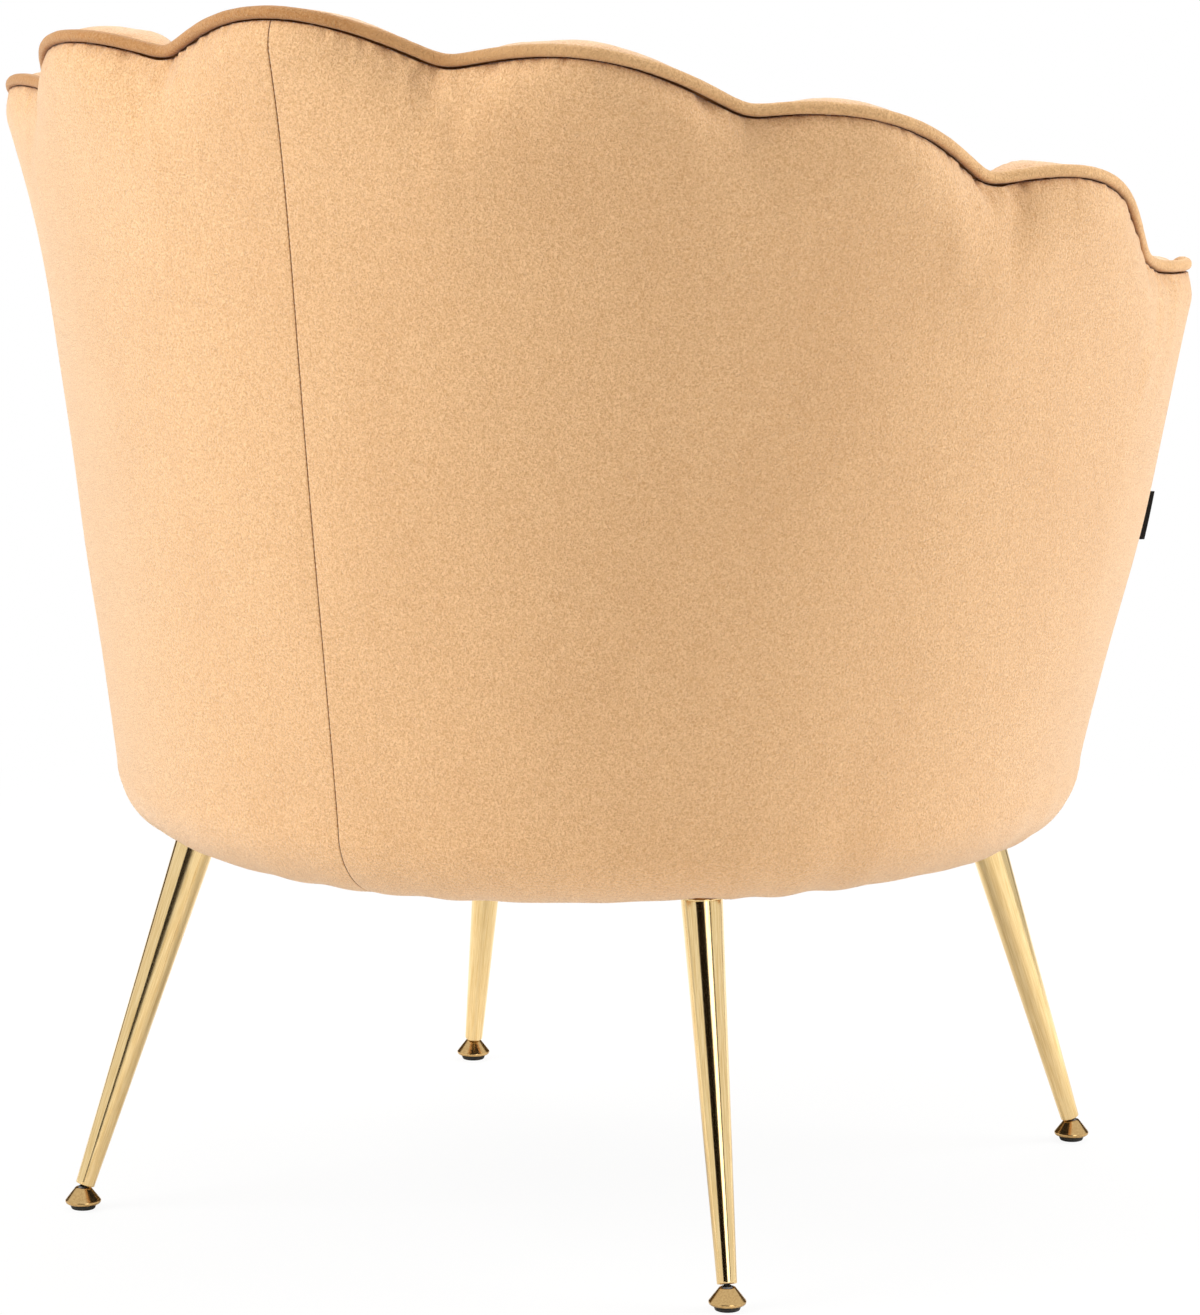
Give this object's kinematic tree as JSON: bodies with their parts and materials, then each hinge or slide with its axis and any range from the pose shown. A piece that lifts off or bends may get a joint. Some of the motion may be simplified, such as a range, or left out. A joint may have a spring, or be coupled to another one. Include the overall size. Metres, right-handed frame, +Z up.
{
  "type": "upholstered armchair",
  "caption": "Low tub armchair with a fluted shell back and scalloped piped rim, a loose boxed cushion, and splayed tapered metal legs on levelling glides.",
  "frame": {"origin": "on the floor, under the middle of the chair's box", "axes": "+Z up, the chair faces -Y, the sitter's left is +X"},
  "size_m": [0.7744, 0.7186, 0.7897],
  "materials": {
    "velvet": "short-pile velvet, apricot, fine pebbled nap",
    "piping_velvet": "the same velvet cut on the bias round a cord",
    "gold_metal": "steel tube, gold plated and polished",
    "bronze_metal": "zinc casting, brassy brown",
    "zinc_steel": "zinc-plated steel",
    "rubber": "moulded, matte",
    "plywood": "laminated board, raw",
    "timber": "softwood, raw",
    "fibreboard": "bent hardboard, raw",
    "webbing": "woven polypropylene strap",
    "black_cloth": "non-woven cloth and ribbon, black"
  },
  "bodies": {
    "chair": {"leg_front_left": "gold_metal", "leg_front_right": "gold_metal", "leg_rear_left": "gold_metal", "leg_rear_right": "gold_metal", "plate_screw_front_left_1": "zinc_steel", "plate_screw_front_left_2": "zinc_steel", "plate_screw_front_right_1": "zinc_steel", "plate_screw_front_right_2": "zinc_steel", "plate_screw_rear_left_1": "zinc_steel", "plate_screw_rear_left_2": "zinc_steel", "plate_screw_rear_right_1": "zinc_steel", "plate_screw_rear_right_2": "zinc_steel", "base_ring": "plywood", "dust_cover": "black_cloth", "web_cross_1": "webbing", "web_cross_2": "webbing", "web_long_1": "webbing", "web_long_2": "webbing", "back_post_left_1": "timber", "back_post_left_2": "timber", "back_post_left_3": "timber", "back_post_left_4": "timber", "back_post_right_1": "timber", "back_post_right_2": "timber", "back_post_right_3": "timber", "back_post_right_4": "timber", "upper_rail": "timber", "front_rail": "timber", "shell_board": "fibreboard", "lobe_board": "fibreboard", "outer_panel_left": "velvet", "outer_panel_right": "velvet", "front_border": "velvet", "rim_piping": "piping_velvet", "channel_pad_centre": "velvet", "channel_pad_left_1": "velvet", "channel_pad_left_2": "velvet", "channel_pad_left_3": "velvet", "channel_pad_left_4": "velvet", "channel_pad_right_1": "velvet", "channel_pad_right_2": "velvet", "channel_pad_right_3": "velvet", "channel_pad_right_4": "velvet", "seat_deck": "velvet", "side_tab": "black_cloth"},
    "cushion": {"seat_cushion": "velvet", "cushion_welt_lower": "piping_velvet", "cushion_welt_upper": "piping_velvet"},
    "glide_screw_front_left": {"glide_stud_front_left": "zinc_steel"},
    "glide_foot_front_left": {"glide_cone_front_left": "bronze_metal", "glide_pad_front_left": "rubber"},
    "glide_screw_front_right": {"glide_stud_front_right": "zinc_steel"},
    "glide_foot_front_right": {"glide_cone_front_right": "bronze_metal", "glide_pad_front_right": "rubber"},
    "glide_screw_rear_left": {"glide_stud_rear_left": "zinc_steel"},
    "glide_foot_rear_left": {"glide_cone_rear_left": "bronze_metal", "glide_pad_rear_left": "rubber"},
    "glide_screw_rear_right": {"glide_stud_rear_right": "zinc_steel"},
    "glide_foot_rear_right": {"glide_cone_rear_right": "bronze_metal", "glide_pad_rear_right": "rubber"}
  },
  "joints": [
    {"name": "cushion_lift", "type": "slide", "parent": "chair", "child": "cushion", "axis": [0, 0, 1], "range_m": [0, 0.25]},
    {"name": "glide_height_front_left", "type": "slide", "parent": "chair", "child": "glide_screw_front_left", "axis": [0.2167, -0.2126, -0.9528], "range_m": [0, 0.008]},
    {"name": "glide_tilt_front_left", "type": "hinge", "parent": "glide_screw_front_left", "child": "glide_foot_front_left", "pos_m": [0.24, -0.26446, 0.012], "axis": [-0.7003, -0.7138, 0], "range_deg": [-12, 12]},
    {"name": "glide_height_front_right", "type": "slide", "parent": "chair", "child": "glide_screw_front_right", "axis": [-0.2167, -0.2126, -0.9528], "range_m": [0, 0.008]},
    {"name": "glide_tilt_front_right", "type": "hinge", "parent": "glide_screw_front_right", "child": "glide_foot_front_right", "pos_m": [-0.24, -0.26446, 0.012], "axis": [-0.7003, 0.7138, 0], "range_deg": [-12, 12]},
    {"name": "glide_height_rear_left", "type": "slide", "parent": "chair", "child": "glide_screw_rear_left", "axis": [0.2149, 0.2474, -0.9448], "range_m": [0, 0.008]},
    {"name": "glide_tilt_rear_left", "type": "hinge", "parent": "glide_screw_rear_left", "child": "glide_foot_rear_left", "pos_m": [0.24, 0.22454, 0.012], "axis": [0.7549, -0.6559, 0], "range_deg": [-12, 12]},
    {"name": "glide_height_rear_right", "type": "slide", "parent": "chair", "child": "glide_screw_rear_right", "axis": [-0.2149, 0.2474, -0.9448], "range_m": [0, 0.008]},
    {"name": "glide_tilt_rear_right", "type": "hinge", "parent": "glide_screw_rear_right", "child": "glide_foot_rear_right", "pos_m": [-0.24, 0.22454, 0.012], "axis": [0.7549, 0.6559, 0], "range_deg": [-12, 12]}
  ]
}
